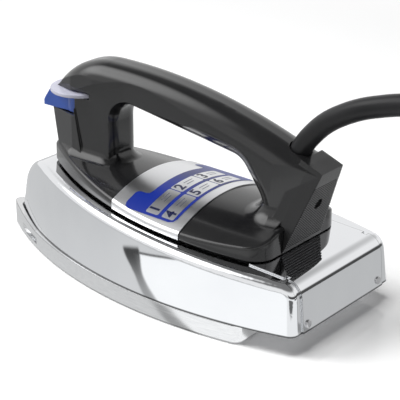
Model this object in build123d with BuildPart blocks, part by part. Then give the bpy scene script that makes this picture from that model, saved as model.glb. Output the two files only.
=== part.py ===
"""Dry clothes iron: polished soleplate, chromed shell, moulded handle, thermostat and cord.

Millimetres. +Z is up, the nose points to -X and the heel to +X. The origin is under the
middle of the iron, on the surface that it stands on.
"""

import os
from math import atan2, cos, hypot, pi, radians, sin, sqrt, tan

from build123d import *

# Clearances
seat = 0.05  # round a stud, screw or tube in its hole
running = 0.08  # round a turning shaft
slack = 0.4  # between loose edges
free_hole = 0.3  # round a screw in a hole it only passes through

# Soleplate
sole_nose = -129.0
sole_rear = 92.0
sole_widest = 48.0
sole_half_width = 58.0
sole_height = 11.0
sole_nose_radius = 5.0
sole_corner_radius = 5.0
sole_edge_round = 1.2
beak_height = 15.5
beak_start = -86.0
nook_radius = 22.0
nook_depth = 2.6
nook_height = 3.6
nook_floor = 3.4
nook_x = -104.0
boss_radius = 8.0
boss_height = 5.0
thread_floor = 4.0

# Heating element
element_radius = 4.0
element_sink = 1.2
element_end = (70.0, 24.0)
element_side = (-5.0, 31.0)
element_bend = (-72.0, 12.0)
pin_radius = 2.0
pin_top = 26.0

# Chromed shell
sheet = 0.9
nose_ledge = 6.5  # how far the soleplate stands out past the shell at the nose
side_ledge = 0.5  # and at the sides
nose_rake = 9.3  # how far the nose draws back from foot to top
side_rake = 4.5  # and the sides
shell_nose = sole_nose + nose_ledge
shell_half_width = sole_half_width - side_ledge
shell_top_nose = shell_nose + nose_rake
shell_top_half_width = shell_half_width - side_rake
shell_top = 60.0
widest_shift = 2.0  # how far behind that of the soleplate
shell_widest = sole_widest + widest_shift
shell_rear = 124.1
shell_rear_lean = 2.2
shell_nose_radius = 6.0
nose_inset = 1.6  # how far the pointed nose draws in for each millimetre of wall
deck_front_x = -95.0
deck_front_z = 53.6
deck_rear_x = 115.0
deck_rear_z = 39.6
shoulder_radius = 5.0
bend_radius = 9.0
nose_set = 3.1  # how far behind the foot of the nose its front line starts
nose_line = shell_nose + nose_set
nose_lean = 0.19
nose_bend_radius = 34.0
shaft_opening = 5.0

# Heel plate, laid over the rear of the deck and down the back
heel_front = 88.0
heel_half_width = 39.5
notch_width = 3.0
notch_depth = 2.5
rivet_y = 35.0
rivet_z = 15.5
rivet_shank = 1.3
rivet_radius = 2.3
rivet_head = 1.1
rivet_foot = 0.8

# Bottom cover, behind the soleplate
bottom_lap = 9.0  # how far it lies over the rear of the soleplate
bottom_front = sole_rear - bottom_lap
bottom_corner = 7.0
bottom_screw_inset = 4.5
bottom_screw_x = bottom_front + bottom_screw_inset
bottom_screw_y = 30.0

# Small screws
small_shank = 1.5
small_head = 2.9
small_head_height = 1.7

# Handle: the saddle that sits on the deck
rim_gap = 1.6
rim_nose = -93.0
rim_widest = 40.0
rim_half_width = 44.5
rim_rear = 95.0
rim_nose_radius = 9.0
rim_corner_radius = 14.0
rim_round = 2.0
rim_inset = 4.0
saddle_radius = 93.0
saddle_crown_x = 42.0
saddle_crown_z = 60.8
saddle_slope = 2.0

# Handle: the loop above it
grip_half_width = 15.0
grip_round = 12.0
finger_round = 10.0
front_foot_x = -77.8
front_lean = 12.2
chin_z = 87.6
hood_tip = (-79.5, 103.4)
grip_top = (-40.0, 124.2)
grip_end = (88.0, 100.9)
rear_foot = (95.0, 42.0)
rear_head = (114.5, 91.0)
front_strip = 6.0
front_taper = (-65.0, 12.4)
front_taper_end = -45.0
rear_taper_start = 84.0
rear_strip = 10.0
rear_foot_strip = 19.0
finger_front = -34.0
finger_rear = 74.0
finger_top_front = 104.0
finger_top_rear = 88.0
finger_bend_x = 60.0
finger_radius = 13.0
finger_drop = 20.0
finger_floor = 50.0

# Handle: thumb rests on both sides of the front post
thumb_depth = 3.2
thumb_radius = 5.0

# Handle: blends between the posts and the saddle
front_blend = 8.0
rear_blend = 12.0
blend_step = 0.05  # how far the blends start inside the posts

# Label plate over the saddle
label_front = -10.5
label_rear = 43.0
label_thickness = 0.6
label_gap = 0.1  # film of glue under the sheet

# Handle bolts and their spacer tubes
bolt_x = (2.0, 32.0)
bolt_radius = 2.5
bolt_head_radius = 4.3
bolt_head_height = 3.5
bolt_seat_z = 55.5
bolt_slot = 1.0
spacer_radius = 4.6

# Rear cover and the room behind it
cover_depth = 9.0
cover_wall = 3.2
room_depth = 15.0
room_half_width = 9.0
room_floor = 12.0
room_top = 39.0
pillar_up = 29.0
pillar_radius = 3.4
cover_screw_bore = 3.3
cover_screw_depth = 4.0
rib_pitch = 1.5
rib_groove = 0.7
rib_depth = 0.5
rib_first = 4.0
rib_count = 27

# Wiring
wire_hole_x = 82.5
wire_hole_radius = 4.0
lead_radius = 1.2
lead_y = 2.0
lead_bend = 4.0
core_radius = 1.0
block_half_width = 8.0
block_floor = 13.0
block_top = 24.5
block_face = 13.0
block_back = 23.5

# Cord and its guard
cord_radius = 3.75
guard_radius = 6.0
guard_room = 0.7
flange_radius = 7.4
flange_thickness = 2.6
guard_points = (
    (87.5, 0.0, 84.0),
    (94.5, 0.0, 101.5),
    (108.8, 0.0, 117.3),
    (129.0, 0.0, 128.8),
    (153.0, 0.0, 136.2),
    (172.0, 0.0, 139.5),
)
cord_points = (
    (190.0, 0.0, 142.626),
    (222.0, 0.0, 137.0),
    (246.0, -4.0, 114.0),
    (258.0, -14.0, 82.0),
    (266.0, -28.0, 50.0),
    (280.0, -41.0, 22.0),
    (305.0, -49.0, 7.0),
    (336.0, -52.0, 3.8),
    (366.0, -52.0, 3.8),
)
coil_radii = (52.0, 47.9, 43.8, 39.7, 35.6, 31.5, 39.7, 43.8, 47.9, 52.0)
coil_floor = 3.8
coil_upper = 11.9
coil_tail_length = 32.0
coil_climb = 4  # the half turn that rises from the lower layer to the upper one

# Plug
plug_length = 36.0
plug_half_width = 13.0
plug_half_height = 11.6
plug_round = 5.0
plug_neck_length = 16.0
plug_neck_radius = 6.0
blade_spacing = 12.7
blade_width = 6.3
blade_thickness = 1.5
blade_length = 17.0
blade_root = 9.0

# Temperature control
dial_x = -67.0
dial_z = 100.4
dial_radius = 19.0
dial_thickness = 2.2
dial_edge = 0.6
slot_radius = 20.0
slot_room = 0.8
shaft_radius = 3.0
shaft_end = -78.4
cam_radius = 6.5
cam_height = 5.0
cam_slant = 14.3  # tilt of the cam's face, which lowers or lifts the follower as it turns
pocket_radius = 11.5
pocket_wall = 4.5
lever_hub = 9.0
lever_depth = 12.3
lever_half_width = 8.0
lever_tip = 25.5
lever_round = 2.5

# Thermostat
pivot_x = -32.0
pivot_z = 19.5
pivot_radius = 1.5
barrel_radius = 3.2
barrel_half_width = 5.5
arm_thickness = 2.0
arm_half_width = 4.0
arm_front = -65.5
arm_rear = -9.5
follower_x = -62.5
follower_top = 21.6
follower_radius = 1.0
contact_x = -14.0
contact_radius = 2.0
contact_drop = 2.0
ear_inner = 6.0
ear_thickness = 1.2
ear_half_length = 4.5
ear_top = 23.5
bracket_front = -43.5
bracket_rear = -21.5
bracket_half_width = 9.0
bracket_screw_x = (-40.0, -25.0)
ceramic_front = -20.5
ceramic_rear = -8.0
ceramic_half_width = 6.0
ceramic_top = 14.0
strip_thickness = 0.6
button_top = 15.3
bimetal_front = -34.0
bimetal_rear = -4.0
bimetal_y = 14.0
bimetal_half_width = 3.0
bimetal_thickness = 1.0

reach = 200.0  # longer than any half of the iron, for forms that are cut to length

deck_slope = (deck_rear_z - deck_front_z) / (deck_rear_x - deck_front_x)
deck_plane = Plane(origin=(deck_front_x, 0, deck_front_z), x_dir=(1, 0, deck_slope),
                   z_dir=(-deck_slope, 0, 1))
rim_plane = deck_plane.offset(rim_gap)
back_angle = atan2(shell_rear_lean, deck_rear_z - sole_height)
rear_angle = atan2(rear_head[0] - rear_foot[0], rear_head[1] - rear_foot[1])
rear_length = hypot(rear_head[0] - rear_foot[0], rear_head[1] - rear_foot[1])
rear_plane = Plane(origin=(rear_foot[0], 0, rear_foot[1]), x_dir=(0, 1, 0),
                   z_dir=(cos(rear_angle), 0, -sin(rear_angle)))
parting = rear_plane.offset(-cover_depth)
post_lean = tan(radians(front_lean))
dial_plane = Plane(origin=(dial_x, 0, dial_z), z_dir=(0, 0, 1))
saddle_axis = Plane(origin=(saddle_crown_x, 0, saddle_crown_z - saddle_radius),
                    x_dir=(-sin(radians(saddle_slope)), 0, -cos(radians(saddle_slope))),
                    z_dir=(cos(radians(saddle_slope)), 0, -sin(radians(saddle_slope))))


def deck_z(x):
    """Height of the deck's outer face at x."""
    return deck_front_z + deck_slope * (x - deck_front_x)


def back_x(z):
    """Place of the shell's back wall at height z."""
    return shell_rear - (z - sole_height) * tan(back_angle)


def boat_half_width(x, apex, widest, half_width):
    """Half-width at x of an outline with two arched sides that meet at the apex."""
    radius = ((widest - apex) ** 2 + half_width**2) / (2 * half_width)
    return sqrt(radius**2 - (x - widest) ** 2) - (radius - half_width)


def boat_outline(apex, widest, half_width, rear, nose_radius, corner_radius=0):
    """Pointed oval, cut square at the rear, with its nose and rear corners rounded."""
    rear_half = boat_half_width(rear, apex, widest, half_width)
    with BuildSketch() as outline:
        with BuildLine():
            ThreePointArc((apex, 0), (widest, half_width), (rear, rear_half))
            Line((rear, rear_half), (rear, -rear_half))
            ThreePointArc((rear, -rear_half), (widest, -half_width), (apex, 0))
        make_face()
        fillet(outline.vertices().sort_by(Axis.X)[:1], nose_radius)
        if corner_radius:
            fillet(outline.vertices().sort_by(Axis.X)[-2:], corner_radius)
    return outline.sketch


def shell_foot(inset):
    """Outline of the shell's walls where they stand on the soleplate."""
    return boat_outline(shell_nose + nose_inset * inset, shell_widest, shell_half_width - inset,
                        shell_rear + bend_radius, shell_nose_radius - inset)


def shell_walls(inset):
    """Leaning walls of the shell, drawn in by the inset."""
    with BuildPart() as walls:
        with BuildSketch(Plane.XY.offset(sole_height)):
            add(shell_foot(inset))
        with BuildSketch(Plane.XY.offset(shell_top)):
            add(boat_outline(shell_top_nose + nose_inset * inset, shell_widest,
                             shell_top_half_width - inset, shell_rear + bend_radius,
                             shell_nose_radius - inset))
        loft(ruled=True)
    return walls.part


def side_profile(drop):
    """Nose, deck and back of the shell seen from the side, lowered by a thickness."""
    back_slope = tan(back_angle)
    front_z = deck_front_z - deck_slope * deck_front_x
    rear_top = (shell_rear - (front_z - sole_height) * back_slope) / (1 + deck_slope * back_slope)
    nose_foot = nose_line - sole_height * nose_lean
    nose_top = (nose_foot + front_z * nose_lean) / (1 - deck_slope * nose_lean)
    with BuildSketch(Plane.XZ) as side:
        with BuildLine():
            Polyline((nose_foot, 0), (nose_top, deck_z(nose_top)), (rear_top, deck_z(rear_top)),
                     (back_x(0), 0), close=True)
        make_face()
        fillet(side.vertices().sort_by(Axis.X)[-2:].sort_by(Axis.Y)[-1:], bend_radius)
        fillet(side.vertices().sort_by(Axis.X)[:2].sort_by(Axis.Y)[-1:], nose_bend_radius)
        offset(amount=-drop, kind=Kind.INTERSECTION)
    return side.sketch


def shell_form(inset):
    """Solid form of the shell, drawn in by the inset on the walls and on the deck."""
    with BuildPart() as form:
        add(shell_walls(inset))
        extrude(side_profile(inset), amount=reach, both=True, mode=Mode.INTERSECT)
        creases = form.edges().filter_by(GeomType.LINE, reverse=True)
        creases = creases.filter_by(lambda edge: edge.center().Z > sole_height + 1)
        uprights = [e for e in creases if e.vertices().sort_by(Axis.Z)[0].Z < sole_height + 1
                    and e.center().X < 0]
        creases = [e for e in creases if e not in uprights]
        fillet(creases, shoulder_radius - inset)
    return form.part


def rim_outline(grow=0):
    """Outline of the handle's rim from above."""
    return boat_outline(rim_nose - nose_inset * grow, rim_widest, rim_half_width + grow,
                        rim_rear + grow, rim_nose_radius + grow, rim_corner_radius + grow)


def saddle_form(grow):
    """Arched foot of the handle, standing clear of the deck, grown by a skin's thickness."""
    with BuildPart() as saddle:
        with BuildSketch():
            add(rim_outline(grow))
        extrude(amount=reach)
        with BuildSketch(saddle_axis):
            Circle(saddle_radius + grow)
        extrude(amount=reach, both=True, mode=Mode.INTERSECT)
        split(bisect_by=rim_plane, keep=Keep.TOP)
        fillet(saddle.faces().filter_by(GeomType.CYLINDER).sort_by(SortBy.AREA)[-1].edges(),
               rim_round + grow)
    return saddle.part


def loop_form():
    """The loop of the handle: two posts and the grip over the finger opening."""
    foot_z = deck_z(reach)
    foot_rear = rear_foot[0] + (foot_z - rear_foot[1]) * tan(rear_angle)
    foot_front = front_foot_x + (deck_z(front_foot_x) - foot_z) * post_lean
    chin_x = front_foot_x - (chin_z - deck_z(front_foot_x)) * post_lean
    with BuildPart() as loop:
        with BuildSketch(Plane.XZ):
            with BuildLine():
                grip = TangentArc(grip_top, grip_end, tangent=(1, 0))
                TangentArc(grip_top, hood_tip, tangent=(-1, 0))
                TangentArc(grip @ 1, rear_head, tangent=grip % 1)
                Polyline(rear_head, (foot_rear, foot_z), (foot_front, foot_z),
                         (chin_x, chin_z), hood_tip)
            make_face()
        extrude(amount=grip_half_width, both=True)
        fillet(loop.faces().filter_by(GeomType.CYLINDER).edges().filter_by(GeomType.CIRCLE),
               grip_round)
        with BuildSketch(Plane.XZ) as opening:
            with BuildLine():
                Polyline(
                    (finger_front, finger_floor),
                    (finger_front, finger_top_front),
                    (finger_bend_x, finger_top_rear),
                    (finger_rear, finger_top_rear - finger_drop),
                    (finger_rear, finger_floor),
                    close=True,
                )
            make_face()
            fillet(opening.vertices().sort_by(Axis.Y)[2:], finger_radius)
        extrude(amount=reach, both=True, mode=Mode.SUBTRACT)
        brink = ShapeList()
        for cheek in loop.faces().filter_by(Axis.Y):
            brink += cheek.inner_wires()[0].edges()
        fillet(brink.filter_by(lambda edge: edge.center().Z > finger_floor + 1), finger_round)
        with BuildSketch():
            Polygon(
                (chin_x, front_strip),
                front_taper,
                (front_taper_end, grip_half_width),
                (rear_taper_start, grip_half_width),
                (rear_head[0], rear_strip),
                (rear_head[0], -rear_strip),
                (rear_taper_start, -grip_half_width),
                (front_taper_end, -grip_half_width),
                (front_taper[0], -front_taper[1]),
                (chin_x, -front_strip),
                align=None,
            )
        extrude(amount=reach, mode=Mode.INTERSECT)
    return loop.part


def thumb_rests():
    """Shallow hollows on both sides, under the ledge that runs from the hood to the grip."""
    floor = grip_half_width - thumb_depth
    with BuildPart() as hollows:
        with BuildSketch(Plane.XZ) as side:
            with BuildLine():
                ledge = Spline((-64.5, 102.5), (-46, 111), (-21, 116.5), (11.5, 112), (40, 104.5))
                Polyline(ledge @ 1, (40, 96), (-20, 96), (-20, 58.5), (-56, 58.5), ledge @ 0)
            make_face()
            fillet(side.vertices().sort_by(Axis.Y)[:2], thumb_radius)
        extrude(amount=reach, both=True)
        with BuildSketch():
            for side_sign in (1, -1):
                Polygon(
                    (-reach, side_sign * floor),
                    (-24, side_sign * floor),
                    (40, side_sign * (grip_half_width + 0.3)),
                    (40, side_sign * reach),
                    (-reach, side_sign * reach),
                    align=None,
                )
        extrude(amount=reach, mode=Mode.INTERSECT)
    return hollows.part


def loop_block():
    """The loop with the wider block of its rear post, cut to the rim."""
    with BuildPart() as block:
        add(loop_form())
        with BuildSketch(rear_plane):
            Polygon((-rear_foot_strip, 0), (rear_foot_strip, 0), (rear_strip, rear_length),
                    (-rear_strip, rear_length), align=None)
        extrude(amount=-(cover_depth + 6))
        split(bisect_by=rim_plane, keep=Keep.TOP)
    return block.part


def post_feet():
    """Feet of both posts, blended into the top of the saddle."""
    thumb_floor = grip_half_width - thumb_depth - blend_step
    half_width = grip_half_width - blend_step
    with BuildPart() as feet:
        with BuildSketch(saddle_axis):
            Circle(saddle_radius - blend_step)
        extrude(amount=reach, both=True)
        with BuildSketch() as front_foot:
            Polygon((front_foot_x, -front_strip), (front_foot_x, front_strip),
                    (front_taper[0], thumb_floor), (finger_front - blend_step, thumb_floor),
                    (finger_front - blend_step, -thumb_floor), (front_taper[0], -thumb_floor),
                    align=None)
            fillet(front_foot.vertices().sort_by(Axis.X)[:4], front_strip / 2)
            fillet(front_foot.vertices().sort_by(Axis.X)[-2:], finger_round * 0.75)
        extrude(amount=finger_top_rear - 5)
        crown = feet.faces().filter_by(GeomType.CYLINDER).sort_by(SortBy.AREA)[-1]
        fillet(crown.inner_wires()[0].edges(), front_blend)
        with BuildSketch() as rear_stub:
            Polygon((finger_rear + blend_step, -half_width), (finger_rear + blend_step, half_width),
                    (rear_taper_start, half_width), (rear_head[0], rear_strip - blend_step),
                    (rear_head[0], blend_step - rear_strip), (rear_taper_start, -half_width),
                    align=None)
            fillet(rear_stub.vertices().sort_by(Axis.X)[:2], finger_round - 2 * blend_step)
            fillet(rear_stub.vertices().sort_by(Axis.X)[-2:], rear_strip / 2)
        extrude(amount=finger_top_rear - 8)
        crown = feet.faces().filter_by(GeomType.CYLINDER).sort_by(SortBy.AREA)[-1]
        rear_wire = crown.inner_wires().sort_by(Axis.X)[-1]
        fillet(rear_wire.edges(), rear_blend)
        with BuildSketch():
            add(rim_outline(-rim_round))
        extrude(amount=reach, mode=Mode.INTERSECT)
        split(bisect_by=parting, keep=Keep.BOTTOM)
        split(bisect_by=rim_plane, keep=Keep.TOP)
    return feet.part


def slab(plane, width, height, start, end):
    """Rectangular block along the normal of a plane, between two heights above it."""
    with BuildPart() as made:
        with BuildSketch(plane.offset(start)):
            Rectangle(width, height)
        extrude(amount=end - start)
    return made.part


def bar(plane, radius, start, end):
    """Round bar along the normal of a plane, between two heights above it."""
    with BuildPart() as made:
        with BuildSketch(plane.offset(start)):
            Circle(radius)
        extrude(amount=end - start)
    return made.part


def rivet_place(side_sign):
    """Plane on the back wall of the shell, at one of the two rivets."""
    return Plane(origin=(back_x(rivet_z), side_sign * rivet_y, rivet_z), x_dir=(0, 1, 0),
                 z_dir=(cos(back_angle), 0, sin(back_angle)))


def upright(x, y):
    """Level plane over a point of the floor."""
    return Plane(origin=(x, y, 0), z_dir=(0, 0, 1))


def on_rear(x, up, depth):
    """Point in the rear post: across, up the rear face, and inwards from it."""
    return rear_plane.from_local_coords(Vector(x, up, -depth))


def tube_length(points, radii):
    """Length of a run of straights joined by tangent arcs."""
    total = 0.0
    for first, second in zip(points, points[1:]):
        total += (Vector(*second) - Vector(*first)).length
    for index, radius in enumerate(radii):
        before = Vector(*points[index + 1]) - Vector(*points[index])
        after = Vector(*points[index + 2]) - Vector(*points[index + 1])
        turn = radians(before.get_angle(after))
        total -= 2 * radius * tan(turn / 2) - radius * turn
    return total


def bend_radii(points):
    """Radius of each bend, so that its arc takes under half of the shorter run beside it."""
    radii = []
    for before, corner, after in zip(points, points[1:], points[2:]):
        first = Vector(*corner) - Vector(*before)
        second = Vector(*after) - Vector(*corner)
        turn = radians(first.get_angle(second))
        radii.append(0.45 * min(first.length, second.length) / tan(turn / 2))
    return radii


def rounded_run(points, radii):
    """Straight runs joined by tangent arcs."""
    points = [Vector(*point) for point in points]
    start = points[0]
    with BuildLine() as run:
        for index, radius in enumerate(radii):
            corner = points[index + 1]
            first = (corner - points[index]).normalized()
            second = (points[index + 2] - corner).normalized()
            cut = radius * tan(radians(first.get_angle(second)) / 2)
            Line(start, corner - first * cut)
            TangentArc(corner - first * cut, corner + second * cut, tangent=first)
            start = corner + second * cut
        Line(start, points[-1])
    return run.wires()[0]


os.makedirs("parts", exist_ok=True)

screw_holes = [(x, 0) for x in bracket_screw_x]
screw_holes += [(bottom_screw_x, bottom_screw_y), (bottom_screw_x, -bottom_screw_y)]

# Path of the heating element, a long U round the soleplate
element_z = sole_height - element_sink
with BuildLine(Plane.XY.offset(element_z)) as element_path:
    near_leg = ThreePointArc((element_end[0], -element_end[1]), (element_side[0], -element_side[1]),
                             (element_bend[0], -element_bend[1]))
    nose_bend = TangentArc(near_leg @ 1, (element_bend[0], element_bend[1]), tangent=near_leg % 1)
    ThreePointArc(nose_bend @ 1, element_side, element_end)
element_wire = element_path.wires()[0]


def element_tube(radius):
    """Tube along the path of the heating element."""
    with BuildPart() as tube:
        with BuildSketch(Plane(origin=element_wire @ 0, z_dir=element_wire % 0)):
            Circle(radius)
        sweep(path=element_wire)
    return tube.part


# Soleplate: cast plate with a beak, button nooks, groove, bosses and screw holes
with BuildPart() as soleplate:
    with BuildSketch():
        add(boat_outline(sole_nose, sole_widest, sole_half_width, sole_rear, sole_nose_radius,
                         sole_corner_radius))
    extrude(amount=sole_height)
    fillet(soleplate.faces().sort_by(Axis.Z)[0].edges(), sole_edge_round)
    with BuildSketch(Plane.XY.offset(sole_height)):
        add(boat_outline(sole_nose, sole_widest, sole_half_width, sole_rear, sole_nose_radius,
                         sole_corner_radius))
        add(shell_foot(-slack), mode=Mode.SUBTRACT)
        Rectangle(reach, reach, align=(Align.MIN, Align.CENTER), mode=Mode.SUBTRACT)
        with Locations((beak_start, 0)):
            Rectangle(reach, reach, align=(Align.MIN, Align.CENTER), mode=Mode.SUBTRACT)
    extrude(amount=beak_height - sole_height)
    with BuildSketch(Plane.XZ):
        Polygon((sole_nose, beak_height), (beak_start, sole_height), (beak_start, beak_height + 1),
                (sole_nose, beak_height + 1), align=None)
    extrude(amount=reach, both=True, mode=Mode.SUBTRACT)
    for side_sign in (1, -1):
        nook_y = boat_half_width(nook_x, sole_nose, sole_widest, sole_half_width)
        nook_y = side_sign * (nook_y + nook_radius - nook_depth)
        add(bar(upright(nook_x, nook_y), nook_radius, nook_floor, nook_floor + nook_height),
            mode=Mode.SUBTRACT)
    for x in bolt_x:
        add(bar(upright(x, 0), boss_radius, sole_height - 1, sole_height + boss_height))
        add(bar(upright(x, 0), bolt_radius + seat, thread_floor, reach), mode=Mode.SUBTRACT)
    for x, y in screw_holes:
        add(bar(upright(x, y), small_shank + seat, thread_floor, reach), mode=Mode.SUBTRACT)
    add(element_tube(element_radius + seat), mode=Mode.SUBTRACT)
    for side_sign in (1, -1):
        add(bar(upright(element_end[0], side_sign * element_end[1]), element_radius + seat,
                element_z, reach), mode=Mode.SUBTRACT)
        with Locations((element_end[0], side_sign * element_end[1], element_z)):
            Sphere(element_radius + seat, mode=Mode.SUBTRACT)
soleplate.part.label = "soleplate"
export_step(soleplate.part, "parts/soleplate.step")

# Heating element: bent tube with a rounded end and an upright pin at each end
with BuildPart() as heating_element:
    add(element_tube(element_radius))
    for side_sign in (1, -1):
        with Locations((element_end[0], side_sign * element_end[1], element_z)):
            Sphere(element_radius)
        add(bar(upright(element_end[0], side_sign * element_end[1]), pin_radius, element_z, pin_top))
heating_element.part.label = "heating_element"
export_step(heating_element.part, "parts/heating_element.step")

# Shell: thin drawn sheet, open below
with BuildPart() as shell:
    add(shell_form(0))
    add(shell_form(sheet), mode=Mode.SUBTRACT)
    for x in bolt_x:
        add(bar(upright(x, 0), bolt_radius + free_hole, sole_height + 20, reach), mode=Mode.SUBTRACT)
    add(bar(upright(wire_hole_x, 0), wire_hole_radius, sole_height + 20, reach), mode=Mode.SUBTRACT)
    add(bar(upright(dial_x, 0), shaft_opening, sole_height + 20, reach), mode=Mode.SUBTRACT)
    for side_sign in (1, -1):
        add(bar(rivet_place(side_sign), rivet_shank + seat, -10, 10), mode=Mode.SUBTRACT)
shell.part.label = "shell"
export_step(shell.part, "parts/shell.step")

# Heel plate: bent sheet with a notch at each side, where it turns down
with BuildPart() as heel_plate:
    with BuildSketch(Plane.XZ):
        add(side_profile(-sheet))
        add(side_profile(0), mode=Mode.SUBTRACT)
        with Locations((heel_front, 0)):
            Rectangle(2 * reach, 2 * reach, align=(Align.MAX, Align.CENTER), mode=Mode.SUBTRACT)
        with Locations((0, sole_height)):
            Rectangle(2 * reach, 2 * reach, align=(Align.CENTER, Align.MAX), mode=Mode.SUBTRACT)
    extrude(amount=heel_half_width, both=True)
    with BuildSketch():
        for side_sign in (1, -1):
            with Locations((back_x(deck_rear_z) - bend_radius, side_sign * heel_half_width)):
                Rectangle(notch_width, 2 * notch_depth)
    extrude(amount=reach, mode=Mode.SUBTRACT)
    for side_sign in (1, -1):
        add(bar(rivet_place(side_sign), rivet_shank + seat, -10, 10), mode=Mode.SUBTRACT)
heel_plate.part.label = "heel_plate"
export_step(heel_plate.part, "parts/heel_plate.step")

# Heel rivets: a domed head outside, a flat foot inside
with BuildPart() as heel_rivets:
    for side_sign in (1, -1):
        place = rivet_place(side_sign)
        add(bar(place, rivet_shank, -sheet - rivet_foot, sheet + rivet_head))
        add(bar(place, rivet_radius, sheet, sheet + rivet_head))
        add(bar(place, rivet_radius, -sheet - rivet_foot, -sheet))
    fillet(heel_rivets.edges().filter_by(GeomType.CIRCLE).sort_by(Axis.X)[-2:], rivet_head * 0.7)
heel_rivets.part.label = "heel_rivets"
export_step(heel_rivets.part, "parts/heel_rivets.step")

# Bottom cover: sheet that closes the shell behind the soleplate
with BuildPart() as bottom_cover:
    with BuildSketch(Plane.XY.offset(sole_height)) as bottom_outline:
        add(shell_foot(sheet + slack))
        with Locations((bottom_front, 0)):
            Rectangle(2 * reach, 2 * reach, align=(Align.MAX, Align.CENTER), mode=Mode.SUBTRACT)
        with Locations((shell_rear - sheet - slack, 0)):
            Rectangle(2 * reach, 2 * reach, align=(Align.MIN, Align.CENTER), mode=Mode.SUBTRACT)
        fillet(bottom_outline.vertices().sort_by(Axis.X)[-2:], bottom_corner)
    extrude(amount=sheet)
    for side_sign in (1, -1):
        add(bar(upright(bottom_screw_x, side_sign * bottom_screw_y), small_shank + free_hole,
                0, reach), mode=Mode.SUBTRACT)
bottom_cover.part.label = "bottom_cover"
export_step(bottom_cover.part, "parts/bottom_cover.step")


def small_screw(plane, rest, tip):
    """Pan head screw that rests at one height of a plane's normal and ends at another."""
    with BuildPart() as screw:
        add(bar(plane, small_head, rest, rest + small_head_height))
        fillet(screw.faces().sort_by(Axis(plane.origin, plane.z_dir))[-1].edges(), 0.6)
        add(bar(plane, small_shank, tip, rest))
        add(slab(plane, 2 * small_head, 0.8, rest + 0.9, rest + 4), mode=Mode.SUBTRACT)
    return screw.part


# Screws of the bottom cover
with BuildPart() as bottom_cover_screws:
    for side_sign in (1, -1):
        add(small_screw(upright(bottom_screw_x, side_sign * bottom_screw_y), sole_height + sheet,
                        thread_floor + 1))
bottom_cover_screws.part.label = "bottom_cover_screws"
export_step(bottom_cover_screws.part, "parts/bottom_cover_screws.step")

# Gasket between the deck and the handle, stepped over the heel plate
with BuildPart() as handle_gasket:
    with BuildSketch():
        add(rim_outline(-rim_inset))
    extrude(amount=reach)
    split(bisect_by=deck_plane, keep=Keep.TOP)
    split(bisect_by=rim_plane, keep=Keep.BOTTOM)
    with BuildSketch(Plane.XZ):
        with Locations((heel_front - slack, 0)):
            Rectangle(reach, deck_rear_z + 10, align=(Align.MIN, Align.MIN))
        add(side_profile(-sheet), mode=Mode.INTERSECT)
    extrude(amount=reach, both=True, mode=Mode.SUBTRACT)
    for x in bolt_x:
        add(bar(upright(x, 0), bolt_radius + free_hole, 0, reach), mode=Mode.SUBTRACT)
    add(bar(upright(wire_hole_x, 0), wire_hole_radius, 0, reach), mode=Mode.SUBTRACT)
    add(bar(upright(dial_x, 0), shaft_opening, 0, reach), mode=Mode.SUBTRACT)
handle_gasket.part.label = "handle_gasket"
export_step(handle_gasket.part, "parts/handle_gasket.step")

# Handle: saddle, posts and grip in one moulding, with the dial pocket and the rear room
guard_plane = Plane(origin=guard_points[0], x_dir=(0, 1, 0),
                    z_dir=Vector(*guard_points[1]) - Vector(*guard_points[0]))
room_plane = Plane(origin=on_rear(0, (room_floor + room_top) / 2, 0), x_dir=rear_plane.x_dir,
                   z_dir=rear_plane.z_dir)
pillar_plane = Plane(origin=on_rear(0, pillar_up, 0), x_dir=rear_plane.x_dir,
                     z_dir=rear_plane.z_dir)
room_height = room_top - room_floor
room_back = cover_depth + room_depth
loop_with_block = loop_block()
with BuildPart() as rear_room:
    add(slab(room_plane, 2 * room_half_width, room_height, -room_back, -cover_depth + 1))
    add(bar(guard_plane, flange_radius + slack, -4, flange_thickness + 0.4))
    add(bar(pillar_plane, pillar_radius, -room_back - 2, 0), mode=Mode.SUBTRACT)
    add(bar(pillar_plane, small_shank + seat, -room_back + 2, 0))
with BuildPart() as handle:
    add(loop_with_block)
    split(bisect_by=parting, keep=Keep.BOTTOM)
    add(thumb_rests(), mode=Mode.SUBTRACT)
    add(saddle_form(0))
    add(post_feet())
    add(rear_room.part, mode=Mode.SUBTRACT)
    add(bar(guard_plane, guard_radius + guard_room, 0, 40), mode=Mode.SUBTRACT)
    add(bar(upright(wire_hole_x, 0), wire_hole_radius, 0, on_rear(0, room_floor, 20).Z + 2),
        mode=Mode.SUBTRACT)
    add(bar(dial_plane, slot_radius, -slot_room, dial_thickness + slot_room), mode=Mode.SUBTRACT)
    add(bar(dial_plane, pocket_radius, chin_z - dial_z, 0), mode=Mode.SUBTRACT)
    with BuildSketch(dial_plane):
        with Locations((pocket_wall, 0)):
            Rectangle(reach, reach, align=(Align.MAX, Align.CENTER))
    extrude(amount=chin_z - dial_z, mode=Mode.SUBTRACT)
    add(bar(dial_plane, shaft_radius + running, -reach, 0), mode=Mode.SUBTRACT)
    for x in bolt_x:
        add(bar(upright(x, 0), bolt_radius + free_hole, 0, bolt_seat_z + 1), mode=Mode.SUBTRACT)
        add(bar(upright(x, 0), bolt_head_radius + slack, bolt_seat_z, finger_top_rear - 10),
            mode=Mode.SUBTRACT)
handle.part.label = "handle"
export_step(handle.part, "parts/handle.step")

# Label plate: thin sheet bent over the saddle from rim to rim
with BuildPart() as label_plate:
    add(saddle_form(label_gap + label_thickness))
    add(saddle_form(label_gap), mode=Mode.SUBTRACT)
    with BuildSketch():
        with Locations((label_front, 0)):
            Rectangle(label_rear - label_front, reach, align=(Align.MIN, Align.CENTER))
    extrude(amount=reach, mode=Mode.INTERSECT)
label_plate.part.label = "label_plate"
export_step(label_plate.part, "parts/label_plate.step")

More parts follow.
